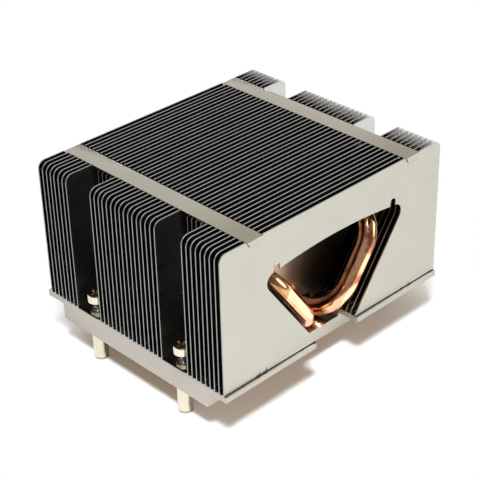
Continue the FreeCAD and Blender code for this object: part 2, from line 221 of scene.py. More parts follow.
# Bright plate: the slab's upper faces keep the finish of the rolled plate that it was
# sawn from, and mirror the fins that stand on them.
bright_plate = new_material("bright_plate_aluminium")
place = add_node(bright_plate, "TexCoord").outputs["Object"]
cloud = add_node(bright_plate, "TexNoise",
                 {"Vector": place, "Scale": 1 / (10 * mm), "Detail": 3.0})
tint = add_node(bright_plate, "Mix", {
    mix_share: cloud.outputs["Fac"], mix_from: linear("#B5AFA8"),
    mix_to: linear("#C6C0B8")}, data_type="RGBA")
dullness = add_node(bright_plate, "MapRange", {
    "Value": cloud.outputs["Fac"], "To Min": 0.1, "To Max": 0.2})
shader = add_node(bright_plate, "BsdfPrincipled", {
    "Base Color": tint.outputs[mixed], "Metallic": 1.0,
    "Roughness": dullness.outputs[0]})
add_node(bright_plate, "OutputMaterial", {"Surface": shader.outputs[0]})

slab = piece_of_node("base_plate")
break_edges(slab, slab_edge)
for face in slab.faces:
    is_upward = face.normal.z > 0.99
    face.material_index = int(is_upward)
finish_piece(slab, "base_slab", [milled_aluminium, bright_plate], "base_aluminium",
             "heatsink", "base_plate")


# Standoffs: four plated tubes, each with a shank pressed into the base up to its
# shoulder. They are turned from bar, and their lower rims are rounded.
standoff_edge = 0.45 * mm
standoff_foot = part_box("standoffs")[0].z
rim_shade_low, rim_shade_high = 0.5 * mm, 1.3 * mm

# Nickel plate: a warm white metal, half bright, with faint turning marks. The standoffs'
# lower rims are painted dark, a painted shade where they meet the floor.
nickel_plate = new_material("nickel_plate")
place = add_node(nickel_plate, "TexCoord").outputs["Object"]
turned = add_node(nickel_plate, "Mapping", {
    "Vector": place, "Scale": (1 / (6 * mm), 1 / (6 * mm), 1 / (0.25 * mm))})
marks = add_node(nickel_plate, "TexNoise",
                 {"Vector": turned.outputs[0], "Scale": 1.0, "Detail": 2.0})
haze = add_node(nickel_plate, "TexNoise",
                {"Vector": place, "Scale": 1 / (4 * mm), "Detail": 3.0})
tint = add_node(nickel_plate, "Mix", {
    mix_share: haze.outputs["Fac"], mix_from: linear("#D2C5AF"),
    mix_to: linear("#E0D4C0")}, data_type="RGBA")
# Painted shade: the standoffs' lower rims darken towards the floor.
painted_rim_shade = add_node(nickel_plate, "MapRange", {
    "Value": add_node(nickel_plate, "SeparateXYZ", {"Vector": place}).outputs["Z"],
    "From Min": standoff_foot + rim_shade_high, "From Max": standoff_foot + rim_shade_low,
    "To Max": 0.65})
tint = add_node(nickel_plate, "Mix", {
    mix_share: painted_rim_shade.outputs[0], mix_from: tint.outputs[mixed],
    mix_to: linear("#7A6C5A")}, data_type="RGBA")
dullness = add_node(nickel_plate, "MapRange", {
    "Value": haze.outputs["Fac"], "To Min": 0.24, "To Max": 0.34})
relief = add_node(nickel_plate, "Bump", {
    "Height": marks.outputs["Fac"], "Strength": 0.05, "Distance": 0.02 * mm})
shader = add_node(nickel_plate, "BsdfPrincipled", {
    "Base Color": tint.outputs[mixed], "Metallic": 1.0,
    "Roughness": dullness.outputs[0], "Normal": relief.outputs[0]})
add_node(nickel_plate, "OutputMaterial", {"Surface": shader.outputs[0]})

# Polished nickel: the same plate on the screws' smoother heads, which mirror more.
polished_nickel = nickel_plate.copy()
polished_nickel.name = "polished_nickel"
gloss = polished_nickel.node_tree.nodes[dullness.name]
gloss.inputs["To Min"].default_value = 0.07
gloss.inputs["To Max"].default_value = 0.15

tubes = piece_of_node("standoffs")
break_edges(tubes, standoff_edge, above=60.0)
finish_piece(tubes, "standoff_tubes", [nickel_plate], "plated_steel", "heatsink",
             "standoffs")


# Heat pipes: two sealed copper tubes. Each lies in the base's groove, turns up behind
# the front fin, slants outwards across its window and runs back through the fins.
pipe_radius, pipe_end_round = 3.4 * mm, 1.0 * mm
pipe_foot = Vector((4.1 * mm, 37.8 * mm, 11.05 * mm))
pipe_bow = 14.7 * mm
pipe_sides, bow_steps = 40, 16
reflection_ragged = 12 * mm
reflection_clear, reflection_deep = 28 * mm, 29 * mm
reflection_rear, reflection_front = -24 * mm, -30 * mm

# Drawn copper: bright enough to show soft reflections, with patches of thin tarnish and
# fine drawing marks. Its upper bends at the front carry a painted olive-brown reflection.
drawn_copper = new_material("drawn_copper")
place = add_node(drawn_copper, "TexCoord").outputs["Object"]
patches = add_node(drawn_copper, "TexNoise",
                   {"Vector": place, "Scale": 1 / (9 * mm), "Detail": 2.0})
grain = add_node(drawn_copper, "TexNoise",
                 {"Vector": place, "Scale": 1 / (0.6 * mm), "Detail": 3.0})
worn = add_node(drawn_copper, "MapRange", {
    "Value": patches.outputs["Fac"], "From Min": 0.36, "From Max": 0.48})
tint = add_node(drawn_copper, "Mix", {
    mix_share: worn.outputs[0], mix_from: linear("#9C6544"),
    mix_to: linear("#F4B690")}, data_type="RGBA")
spot = add_node(drawn_copper, "SeparateXYZ", {"Vector": place})
aside = add_node(drawn_copper, "Math", {0: spot.outputs["X"]}, operation="ABSOLUTE")
# Painted reflection: an olive-brown patch on the pipes' upper bends at the front.
reflection_edge = add_node(drawn_copper, "Math", {
    0: patches.outputs["Fac"], 1: reflection_ragged, 2: aside.outputs[0]},
    operation="MULTIPLY_ADD")
outwards = add_node(drawn_copper, "MapRange", {
    "Value": reflection_edge.outputs[0], "From Min": reflection_clear, "From Max": reflection_deep,
    "To Max": 0.75})
forwards = add_node(drawn_copper, "MapRange", {
    "Value": spot.outputs["Y"], "From Min": reflection_rear, "From Max": reflection_front})
painted_reflection = add_node(drawn_copper, "Math", {
    0: outwards.outputs[0], 1: forwards.outputs[0]}, operation="MULTIPLY")
tint = add_node(drawn_copper, "Mix", {
    mix_share: painted_reflection.outputs[0], mix_from: tint.outputs[mixed],
    mix_to: linear("#86683C")}, data_type="RGBA")
dullness = add_node(drawn_copper, "MapRange", {
    "Value": patches.outputs["Fac"], "To Min": 0.04, "To Max": 0.12})
relief = add_node(drawn_copper, "Bump", {
    "Height": grain.outputs["Fac"], "Strength": 0.04, "Distance": 0.03 * mm})
shader = add_node(drawn_copper, "BsdfPrincipled", {
    "Base Color": tint.outputs[mixed], "Metallic": 1.0,
    "Roughness": dullness.outputs[0], "Normal": relief.outputs[0]})
add_node(drawn_copper, "OutputMaterial", {"Surface": shader.outputs[0]})


def run_on(shape, ring, along):
    """Carries an open ring of edges straight on, and returns the new ring."""
    made = bmesh.ops.extrude_edge_only(shape, edges=ring)["geom"]
    verts = [item for item in made if isinstance(item, bmesh.types.BMVert)]
    bmesh.ops.translate(shape, vec=along, verts=verts)
    return [item for item in made if isinstance(item, bmesh.types.BMEdge)]


def turn_on(shape, ring, centre, axis, angle, steps, climb=0.0):
    """Carries an open ring of edges round a bend, and returns the new ring."""
    made = bmesh.ops.spin(shape, geom=ring, cent=centre, axis=axis, angle=angle,
                          dvec=Vector(axis) * climb, steps=steps, use_merge=False,
                          use_duplicate=False)
    return [item for item in made["geom_last"] if isinstance(item, bmesh.types.BMEdge)]


for node, side in (("heat_pipe_left", -1), ("heat_pipe_right", 1)):
    low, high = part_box(node)
    foot = Vector((side * pipe_foot.x, pipe_foot.y, pipe_foot.z))
    outer = high.x - pipe_radius if side > 0 else low.x + pipe_radius
    head = Vector((outer, high.y, high.z - pipe_radius))
    front = low.y + pipe_radius
    rise = Vector((head.x - foot.x, 0, head.z - foot.z))
    slant = rise.normalized()
    hinge = slant.cross(Vector((0, 1, 0)))
    straight = slant * (rise.length - 2 * pipe_bow)
    tube = bmesh.new()
    bmesh.ops.create_circle(tube, cap_ends=True, segments=pipe_sides,
                            radius=pipe_radius)
    bmesh.ops.rotate(tube, cent=(0, 0, 0), matrix=Matrix.Rotation(math.pi / 2, 3, "X"),
                     verts=tube.verts)
    bmesh.ops.translate(tube, vec=foot, verts=tube.verts)
    ring = run_on(tube, tube.edges[:], Vector((0, front + pipe_bow - foot.y, 0)))
    centre = Vector((foot.x, front + pipe_bow, foot.z)) + slant * pipe_bow
    ring = turn_on(tube, ring, centre, hinge, math.pi / 2, bow_steps)
    ring = run_on(tube, ring, straight)
    centre += straight
    ring = turn_on(tube, ring, centre, hinge, math.pi / 2, bow_steps)
    ring = run_on(tube, ring, Vector((0, head.y - front - pipe_bow, 0)))
    bmesh.ops.contextual_create(tube, geom=ring)
    bmesh.ops.remove_doubles(tube, verts=tube.verts, dist=merge_gap)
    break_edges(tube, pipe_end_round, segments=4)
    finish_piece(tube, f"copper_{node}", [drawn_copper], "copper", "heatsink", node)


# Fins: sheets of aluminium, each sheared and pierced, then bent to a foot along its
# lower edge. The feet set the pitch, and are soldered to the base.
fin_thickness = 0.45 * mm
fin_foot, fin_bend = 1.9 * mm, 0.7 * mm
fin_corner = 3.0 * mm
bend_steps, round_steps = 5, 8
fin_low, fin_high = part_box("fin_01")
fin_top, half_full = fin_high.z, fin_high.x
half_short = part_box("fin_10")[1].x
bend_line = fin_low.z + fin_bend

# From the front: windowed fins, then full ones with a block of short ones over each
# pair of screws. The first behind the window and the last show round pipe holes.
first_fin, last_fin = 1, 43
window_fins = range(1, 10)
short_fins = [*range(10, 15), *range(31, 36)]
seen_fins = (10, 43)
seen_sides, hidden_sides = 40, 16
most_lean, most_twist = 0.0022, 0.0014

# The straps' notches, the window and the pipe holes with the solder slots above them.
strap_low, strap_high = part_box("strap_right")
strap_offset = (strap_low.x + strap_high.x) / 2
notch_floor = strap_low.z
notch_root, notch_mouth = 2.35 * mm, 3.918 * mm
slot_left, slot_right, slot_top = 27.9 * mm, 30.7 * mm, 52.3 * mm
slot_round, slot_round_steps, slot_shoulder = 0.49, 5, 0.3
crown_height, crown_radius, crown_steps = 51.4 * mm, 205.0 * mm, 6
window_edge, window_knee, window_sill = 33.8 * mm, 44.33 * mm, 10.43 * mm
knee_round, knee_steps = 1.2 * mm, 4
hole_radius, hole_height, hole_shift = 3.5 * mm, 45.2 * mm, 0.6 * mm

# Which of its materials a fin's face takes.
on_front, on_rim, on_back, on_inner_rim, on_highlight_rim = range(5)


def rolled_sheet(name, pale, paler, roughness, grain_depth):
    """Rolled aluminium: faint streaks, a fine grain and soft clouds of two tints."""
    sheet = new_material(name)
    place = add_node(sheet, "TexCoord").outputs["Object"]
    rolled = add_node(sheet, "Mapping", {
        "Vector": place, "Scale": (1 / (30 * mm), 1 / (2 * mm), 1 / (0.7 * mm))})
    streaks = add_node(sheet, "TexNoise",
                       {"Vector": rolled.outputs[0], "Scale": 1.0, "Detail": 3.0})
    cloud = add_node(sheet, "TexNoise",
                     {"Vector": place, "Scale": 1 / (12 * mm), "Detail": 4.0})
    grain = add_node(sheet, "TexNoise",
                     {"Vector": place, "Scale": 1 / (0.4 * mm), "Detail": 2.0})
    tint = add_node(sheet, "Mix", {
        mix_share: cloud.outputs["Fac"], mix_from: linear(pale),
        mix_to: linear(paler)}, data_type="RGBA")
    dullness = add_node(sheet, "MapRange", {
        "Value": streaks.outputs["Fac"], "To Min": roughness[0],
        "To Max": roughness[1]})
    relief = add_node(sheet, "Bump", {
        "Height": grain.outputs["Fac"], "Strength": grain_depth, "Distance": 0.02 * mm})
    shader = add_node(sheet, "BsdfPrincipled", {
        "Base Color": tint.outputs[mixed], "Metallic": 1.0,
        "Roughness": dullness.outputs[0], "Normal": relief.outputs[0]})
    add_node(sheet, "OutputMaterial", {"Surface": shader.outputs[0]})
    return sheet


# The inner fins keep the bright face that comes from the rollers, and the front one has
# dulled through handling.
bright_sheet = rolled_sheet("bright_rolled_aluminium", "#B9B7B3", "#C8C6C2",
                            roughness=(0.1, 0.15), grain_depth=0.01)
dulled_sheet = rolled_sheet("dulled_rolled_aluminium", "#B6B1A5", "#BFBAAE",
                            roughness=(0.42, 0.54), grain_depth=0.12)

# The first fin behind the window carries a warm painted reflection of the copper pipes on
# its front. The fins that close the screws' slots are painted dark on the left, a painted
# shade where little light gets in.
painted_glow_sheet = rolled_sheet("painted_copper_glow_aluminium", "#BFA890", "#CDB8A0",
                            roughness=(0.26, 0.32), grain_depth=0.05)
# Painted shade: the left halves of the fronts of the fins behind the screws' slots.
painted_shade_sheet = rolled_sheet("painted_shade_aluminium", "#6F6963", "#7E7872",
                            roughness=(0.25, 0.32), grain_depth=0.05)

# Sheared rims are matt and grey, and painted brighter where they look up, a painted
# highlight. Round the window and in the straps' notches they are painted darker from fin
# to fin, a painted shade that deepens from faint to deep to black.
sheared_rim = rolled_sheet("sheared_aluminium", "#908F8C", "#A3A19E",
                           roughness=(0.3, 0.5), grain_depth=0.2)
# Painted highlight: the rims that look up.
highlight_rim = rolled_sheet("sheared_painted_highlight_aluminium", "#B0AFAC", "#C3C1BE",
                         roughness=(0.3, 0.5), grain_depth=0.2)
faint_shade_rim = rolled_sheet("faint_painted_shade_aluminium", "#857E77", "#9C958E",
                        roughness=(0.3, 0.5), grain_depth=0.2)
deep_shade_rim = rolled_sheet("deep_painted_shade_aluminium", "#3A3430", "#544C45",
                           roughness=(0.3, 0.5), grain_depth=0.2)
black_shade_rim = rolled_sheet("black_painted_shade_aluminium", "#15110F", "#211C18",
                             roughness=(0.5, 0.6), grain_depth=0.2)
last_faint_shade, last_deep_shade = 5, 7

# The fins whose front differs: its finish, and past which point and which way it ends.
front_finishes = {
    1: (dulled_sheet, None, None),
    10: (painted_glow_sheet, Vector((0, 0, slot_top)), Vector((0, 0, 1))),
    15: (painted_shade_sheet, Vector((0, 0, 0)), Vector((1, 0, 0))),
    36: (painted_shade_sheet, Vector((0, 0, 0)), Vector((1, 0, 0))),
}


def trace(shape, start, points):
    """Draws on from a vertex through points across and up, and returns the last."""
    for across, up in points:
        made = bmesh.ops.extrude_vert_indiv(shape, verts=[start])
        start = made["verts"][0]
        start.co = (across, 0, up)
    return start


def round_off(shape, spots, radius, steps):
    """Rounds the outline's corners that lie at the spots."""
    corners = [vert for vert in shape.verts for spot in spots
               if (vert.co - Vector((spot[0], 0, spot[1]))).length < 10 * merge_gap]
    bmesh.ops.bevel(shape, geom=corners, offset=radius, offset_type="OFFSET",
                    affect="VERTICES", segments=steps, profile=0.5, material=-1)


def fin_edge(half_width):
    """Half of a fin's outer edge, from beside the middle of its top to its bend."""
    edge = [(strap_offset - notch_mouth, fin_top),
            (strap_offset - notch_root, notch_floor)]
    if half_width < half_full:
        return edge + [(half_width, notch_floor), (half_width, bend_line)]
    return edge + [(strap_offset + notch_root, notch_floor),
                   (strap_offset + notch_mouth, fin_top),
                   (half_width, fin_top), (half_width, bend_line)]


def pierce(shape, sides):
    """Fills a fin's half around a pipe hole that has a solder slot above it."""
    bmesh.ops.delete(shape, geom=shape.faces[:], context="FACES_ONLY")
    centre = Vector(((slot_left + slot_right) / 2 - hole_shift, 0, hole_height))
    disc = bmesh.ops.create_circle(shape, cap_ends=False, segments=sides,
                                   radius=hole_radius)["verts"]
    bmesh.ops.rotate(shape, cent=(0, 0, 0), verts=disc,
                     matrix=Matrix.Rotation(math.pi / 2, 3, "X"))
    bmesh.ops.translate(shape, vec=centre, verts=disc)
    gone = [vert for vert in disc
            if vert.co.z > centre.z and slot_left < vert.co.x < slot_right]
    disc = [vert for vert in disc if vert not in gone]
    bmesh.ops.delete(shape, geom=gone, context="VERTS")
    ends = sorted((vert for vert in disc if len(vert.link_edges) == 1),
                  key=lambda vert: vert.co.x)
    ends[0].co.x, ends[1].co.x = slot_left, slot_right
    half_slot = (slot_right - slot_left) / 2
    shoulder = half_slot * slot_shoulder
    last = trace(shape, ends[0], [
        (slot_left, slot_top - half_slot), (slot_left + shoulder, slot_top - shoulder),
        (slot_left + half_slot, slot_top), (slot_right - shoulder, slot_top - shoulder),
        (slot_right, slot_top - half_slot)])
    shape.edges.new((last, ends[1]))
    bmesh.ops.triangle_fill(shape, use_beauty=True, use_dissolve=False,
                            edges=shape.edges[:])


def fin_blank(half_width, hole_sides=0):
    """A fin, its front face at y = 0: windowed, or with holes of so many sides."""
    shape = bmesh.new()
    first = shape.verts.new((0, 0, fin_top))
    outline = fin_edge(half_width)
    if hole_sides:
        mouth, ceiling = pipe_foot.x + hole_radius, pipe_foot.z + hole_radius
        outline += [(mouth, bend_line), (mouth, ceiling), (0, ceiling)]
        last = trace(shape, first, outline)
    else:
        crown = crown_height - crown_radius
        arch_end = crown + math.sqrt(crown_radius ** 2 - slot_left ** 2)
        edge_top = crown + math.sqrt(crown_radius ** 2 - slot_right ** 2)
        outline += [(window_sill, bend_line), (window_edge, window_knee),
                    (window_edge, edge_top), (slot_right, edge_top),
                    (slot_right, slot_top), (slot_left, slot_top),
                    (slot_left, arch_end)]
        last = trace(shape, first, outline)
        arch = bmesh.ops.spin(
            shape, geom=[last], cent=(0, 0, crown), axis=(0, 1, 0),
            angle=-math.asin(slot_left / crown_radius), steps=crown_steps,
            use_merge=False, use_duplicate=False)
        last = arch["geom_last"][0]
    shape.edges.new((last, first))
    bmesh.ops.contextual_create(shape, geom=shape.edges[:])
    if half_width == half_full:
        round_off(shape, [(half_width, fin_top)], fin_corner, round_steps)
    if hole_sides:
        pierce(shape, hole_sides)
    else:
        round_off(shape, [(window_edge, edge_top)], window_edge - slot_right,
                  round_steps)
        round_off(shape, [(slot_left, slot_top), (slot_right, slot_top)],
                  (slot_right - slot_left) * slot_round, slot_round_steps)
        round_off(shape, [(window_edge, window_knee)], knee_round, knee_steps)
    lower = [edge for edge in shape.edges
             if all(abs(vert.co.z - bend_line) < merge_gap for vert in edge.verts)]
    lower = turn_on(shape, lower, (0, fin_bend, bend_line), (1, 0, 0), math.pi / 2,
                    bend_steps)
    run_on(shape, lower, Vector((0, fin_foot - fin_bend, 0)))
    bmesh.ops.mirror(shape, geom=shape.verts[:] + shape.edges[:] + shape.faces[:],
                     axis="X", merge_dist=merge_gap)
    bmesh.ops.remove_doubles(shape, verts=shape.verts, dist=merge_gap)
    bmesh.ops.recalc_face_normals(shape, faces=shape.faces)
    front = max(shape.faces, key=lambda face: face.calc_area())
    if front.normal.y > 0:
        bmesh.ops.reverse_faces(shape, faces=shape.faces)
    bmesh.ops.solidify(shape, geom=shape.faces[:], thickness=fin_thickness)
    return shape


def sort_faces(shape):
    """Tells a fin's front, back and rims apart, and the rims by where they are."""
    slack, near = 0.03 * mm, 0.1 * mm
    for face in shape.faces:
        lengths = sorted(edge.calc_length() for edge in face.edges)
        middle = face.calc_center_median()
        is_rim = len(lengths) == 4 and all(
            abs(length - fin_thickness) < slack for length in lengths[:2])
        in_window = abs(middle.x) < window_edge + near and middle.z < slot_top
        in_notch = (abs(abs(middle.x) - strap_offset) < notch_mouth + near
                    and middle.z > notch_floor - 2 * near)
        looks_up = face.normal.z > 0.7
        if not is_rim:
            face.material_index = on_back if face.normal.y > -0.5 else on_front
        elif in_window:
            face.material_index = on_inner_rim if middle.z > bend_line else on_rim
        elif looks_up:
            face.material_index = on_highlight_rim
        else:
            face.material_index = on_inner_rim if in_notch else on_rim


blanks = {
    "window": fin_blank(half_full),
    "short": fin_blank(half_short, hidden_sides),
    "full": fin_blank(half_full, hidden_sides),
    "short_seen": fin_blank(half_short, seen_sides),
    "full_seen": fin_blank(half_full, seen_sides),
}
for blank in blanks.values():
    sort_faces(blank)
random.seed(7)
for number in range(first_fin, last_fin + 1):
    kind = ("window" if number in window_fins
            else "short" if number in short_fins else "full")
    if number in seen_fins:
        kind += "_seen"
    node = f"fin_{number:02d}"
    sheet = blanks[kind].copy()
    lean = twist = 0.0
    if number not in (first_fin, last_fin):
        lean = random.uniform(-1, 1) * most_lean
        twist = random.uniform(-1, 1) * most_twist
    for vert in sheet.verts:
        height = max(0.0, vert.co.z - fin_low.z - fin_foot)
        vert.co.y += height * (lean + twist * vert.co.x / half_full)
    bmesh.ops.translate(sheet, vec=(0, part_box(node)[0].y, 0), verts=sheet.verts)
    finish, ends_at, ends_towards = front_finishes.get(
        number, (bright_sheet, None, None))
    if ends_at is not None:
        bmesh.ops.bisect_plane(
            sheet, geom=sheet.verts[:] + sheet.edges[:] + sheet.faces[:],
            plane_co=ends_at, plane_no=ends_towards)
        for face in sheet.faces:
            past = (face.calc_center_median() - ends_at).dot(ends_towards) > 0
            if face.material_index == on_front and past:
                face.material_index = on_back
    # Painted shade on the inner rims, deeper on fins further back.
    inner_rim = (faint_shade_rim if number <= last_faint_shade
                 else deep_shade_rim if number <= last_deep_shade else black_shade_rim)
    finish_piece(sheet, f"sheet_{node}",
                 [finish, sheared_rim, bright_sheet, inner_rim, highlight_rim],
                 "fin_aluminium", "heatsink", node)
for blank in blanks.values():
    blank.free()


# Shade seam: a thin dark strip along the front fin's bend where its feet are soldered to
# the base, a painted shadow in the crease there. It is most ragged beside the window.
seam_width, seam_height = 0.3 * mm, 0.3 * mm
seam_front, seam_end = fin_low.y - 0.05 * mm, half_full - 0.3 * mm
seam_middle = fin_low.z + seam_height / 2
seam_cuts = 120
ragged_at, ragged_reach = 36 * mm, 5 * mm
ragged_height, calm_share, ragged_forward = 0.9 * mm, 0.25, 0.35 * mm
bulge_mean, bulge_spread = -0.3, 0.9

# Painted crease shade: nearly black and dull.
painted_crease_shade = new_material("painted_crease_shade")
place = add_node(painted_crease_shade, "TexCoord").outputs["Object"]
mottle = add_node(painted_crease_shade, "TexNoise",
                 {"Vector": place, "Scale": 1 / (0.5 * mm), "Detail": 3.0})
tint = add_node(painted_crease_shade, "Mix", {
    mix_share: mottle.outputs["Fac"], mix_from: linear("#020202"),
    mix_to: linear("#0D0B0A")}, data_type="RGBA")
shader = add_node(painted_crease_shade, "BsdfPrincipled", {
    "Base Color": tint.outputs[mixed], "Roughness": 0.8})
add_node(painted_crease_shade, "OutputMaterial", {"Surface": shader.outputs[0]})

for side, word in ((-1, "left"), (1, "right")):
    inner, outer = side * window_sill, side * seam_end
    seam = bmesh.new()
    bmesh.ops.create_cube(seam, size=1.0)
    bmesh.ops.scale(seam, vec=(abs(outer - inner), seam_width, seam_height),
                    verts=seam.verts)
    bmesh.ops.translate(seam, verts=seam.verts, vec=(
        (inner + outer) / 2, seam_front + seam_width / 2, seam_middle))
    long_edges = [edge for edge in seam.edges if edge.calc_length() > 10 * mm]
    bmesh.ops.subdivide_edges(seam, edges=long_edges, cuts=seam_cuts)
    for vert in seam.verts:
        is_ragged = abs(abs(vert.co.x) - ragged_at) < ragged_reach
        bulge = max(0.0, random.gauss(bulge_mean, bulge_spread)) * ragged_height
        if not is_ragged:
            bulge *= calm_share
        if vert.co.z > seam_middle:
            vert.co.z += bulge
        elif vert.co.y < seam_front + seam_width / 2:
            vert.co.y -= min(bulge, ragged_forward)
    finish_piece(seam, f"shade_seam_{word}", [painted_crease_shade], "base_aluminium", "heatsink")


# Straps: two flat steel bars with slanted sides, pressed lengthwise into the notches of
# the fins, to hold their upper edges at their pitch.
strap_edge = 0.12 * mm
shade_rear, shade_front = -15 * mm, -45 * mm

# Brushed steel: warm grey, with fine lines along the bar. It is painted darker towards the
# front, a painted shade, and its sheared ends are as matt as the front fin.
brushed_steel = new_material("brushed_steel")
place = add_node(brushed_steel, "TexCoord").outputs["Object"]
brushed = add_node(brushed_steel, "Mapping", {
    "Vector": place, "Scale": (1 / (0.35 * mm), 1 / (25 * mm), 1 / (0.35 * mm))})
lines = add_node(brushed_steel, "TexNoise",
                 {"Vector": brushed.outputs[0], "Scale": 1.0, "Detail": 3.0})
cloud = add_node(brushed_steel, "TexNoise",
                 {"Vector": place, "Scale": 1 / (18 * mm), "Detail": 3.0})
tint = add_node(brushed_steel, "Mix", {
    mix_share: cloud.outputs["Fac"], mix_from: linear("#C3BDAD"),
    mix_to: linear("#CFC9BA")}, data_type="RGBA")
along = add_node(brushed_steel, "SeparateXYZ", {"Vector": place})
# Painted shade: darker towards the front.
painted_front_shade = add_node(brushed_steel, "MapRange", {
    "Value": along.outputs["Y"], "From Min": shade_rear, "From Max": shade_front},
    interpolation_type="SMOOTHSTEP")
tint = add_node(brushed_steel, "Mix", {
    mix_share: painted_front_shade.outputs[0], mix_from: tint.outputs[mixed],
    mix_to: linear("#B2AB98")}, data_type="RGBA")
dullness = add_node(brushed_steel, "MapRange", {
    "Value": lines.outputs["Fac"], "To Min": 0.2, "To Max": 0.28})
relief = add_node(brushed_steel, "Bump", {
    "Height": lines.outputs["Fac"], "Strength": 0.05, "Distance": 0.02 * mm})
shader = add_node(brushed_steel, "BsdfPrincipled", {
    "Base Color": tint.outputs[mixed], "Metallic": 1.0,
    "Roughness": dullness.outputs[0], "Normal": relief.outputs[0]})
add_node(brushed_steel, "OutputMaterial", {"Surface": shader.outputs[0]})

for node in ("strap_left", "strap_right"):
    bar = piece_of_node(node)
    break_edges(bar, strap_edge, above=20.0)
    for face in bar.faces:
        is_end = abs(face.normal.y) > 0.9
        face.material_index = int(is_end)
    finish_piece(bar, f"bar_{node}", [brushed_steel, dulled_sheet], "strap_steel",
                 "heatsink", node)


# Screws and springs: four captive screws with wide plated heads and cross recesses.
# Each is held up from its standoff by a short coil spring, which shortens as the screw
# goes down. The shanks are plain, because the standoffs hide the threads.
head_radius, head_rise, head_edge = 3.3 * mm, 3.3 * mm, 0.45 * mm
head_chamfer, head_crown = 0.2 * mm, 0.13 * mm
neck_radius, shank_radius = 1.2 * mm, 1.75 * mm
shank_top, shank_edge = 7.8 * mm, 0.3 * mm
recess_arm, recess_half = 2.3 * mm, 0.6 * mm
recess_depth, recess_taper = 1.9 * mm, 0.62
screw_sides, wire_sides = 36, 10
wire_radius, coil_radius = 0.28 * mm, 1.77 * mm
coil_turns, turn_steps = 3, 20

# Spring wire: drawn steel, greyer than the plated pieces, and painted darker, a painted
# shade for the slots it sits in.
spring_wire = new_material("spring_wire")
place = add_node(spring_wire, "TexCoord").outputs["Object"]
scuff = add_node(spring_wire, "TexNoise",
                 {"Vector": place, "Scale": 1 / (0.5 * mm), "Detail": 2.0})
tint = add_node(spring_wire, "Mix", {
    mix_share: scuff.outputs["Fac"], mix_from: linear("#55534F"),
    mix_to: linear("#77746E")}, data_type="RGBA")
dullness = add_node(spring_wire, "MapRange", {
    "Value": scuff.outputs["Fac"], "To Min": 0.18, "To Max": 0.34})
shader = add_node(spring_wire, "BsdfPrincipled", {
    "Base Color": tint.outputs[mixed], "Metallic": 1.0,
    "Roughness": dullness.outputs[0]})
add_node(spring_wire, "OutputMaterial", {"Surface": shader.outputs[0]})


def lift_ring(shape, ring, width, height):
    """Carries a ring round the z axis on to another width and height."""
    ring = run_on(shape, ring, Vector((0, 0, 0)))
    for vert in {vert for edge in ring for vert in edge.verts}:
        out = Vector((vert.co.x, vert.co.y, 0)).normalized() * width
        vert.co = (out.x, out.y, height)
    return ring


for spot in ("front_left", "front_right", "rear_left", "rear_right"):
    low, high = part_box(f"screw_{spot}")
    middle = (low + high) / 2
    head_low = high.z - head_rise
    screw = bmesh.new()
    bmesh.ops.create_circle(screw, cap_ends=True, segments=screw_sides,
                            radius=shank_radius - shank_edge)
    bmesh.ops.translate(screw, vec=(0, 0, low.z), verts=screw.verts)
    ring = screw.edges[:]
    for width, height in (
        (shank_radius, low.z + shank_edge), (shank_radius, shank_top),
        (neck_radius, shank_top), (neck_radius, head_low),
        (head_radius - head_chamfer, head_low), (head_radius, head_low + head_chamfer),
        (head_radius, high.z - head_edge),
        (head_radius - head_crown, high.z - head_crown),
        (head_radius - head_edge, high.z),
    ):
        ring = lift_ring(screw, ring, width, height)
    cross = []
    for quarter in range(4):
        turned = Matrix.Rotation(math.pi / 2 * quarter, 3, "Z")
        for corner in ((recess_half, -recess_half), (recess_arm, -recess_half),
                       (recess_arm, recess_half)):
            cross.append(screw.verts.new(turned @ Vector((*corner, high.z))))
    rim = [screw.edges.new(pair) for pair in zip(cross, cross[1:] + cross[:1])]
    bmesh.ops.triangle_fill(screw, use_beauty=True, use_dissolve=True,
                            edges=ring + rim)
    floor = run_on(screw, rim, Vector((0, 0, -recess_depth)))
    for vert in {vert for edge in floor for vert in edge.verts}:
        vert.co.x *= recess_taper
        vert.co.y *= recess_taper
    bmesh.ops.contextual_create(screw, geom=floor)
    bmesh.ops.translate(screw, vec=(middle.x, middle.y, 0), verts=screw.verts)
    finish_piece(screw, f"plated_screw_{spot}", [polished_nickel], "plated_steel",
                 f"{spot}_screw", f"screw_{spot}")

    low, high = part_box(f"spring_{spot}")
    coil = bmesh.new()
    bmesh.ops.create_circle(coil, cap_ends=True, segments=wire_sides,
                            radius=wire_radius)
    bmesh.ops.rotate(coil, cent=(0, 0, 0), matrix=Matrix.Rotation(math.pi / 2, 3, "X"),
                     verts=coil.verts)
    bmesh.ops.translate(coil, vec=(coil_radius, 0, wire_radius), verts=coil.verts)
    coil_steps = coil_turns * turn_steps
    ring = turn_on(coil, coil.edges[:], (0, 0, 0), (0, 0, 1), 2 * math.pi * coil_turns,
                   coil_steps, climb=(high.z - low.z - 2 * wire_radius) / coil_steps)
    bmesh.ops.contextual_create(coil, geom=ring)
    bmesh.ops.translate(coil, vec=(middle.x, middle.y, low.z), verts=coil.verts)
    spring = finish_piece(coil, f"coil_spring_{spot}", [spring_wire], "spring_steel",
                          "heatsink", f"spring_{spot}")
    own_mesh(spring)


# Studio: a plain pale floor under the standoffs, two soft lamps, high at the front left
# and low at the front right, and a pale surround, which metal mirrors.
floor_level = cad_box[0][2]
floor_half = 3.0
shadow_middle = (-2 * mm, -12 * mm, floor_level)
shadow_reach, white_from = 58 * mm, 95 * mm
warm_reach, neutral_from = 45 * mm, 70 * mm
least_white, unseen_white = 0.1, 0.12
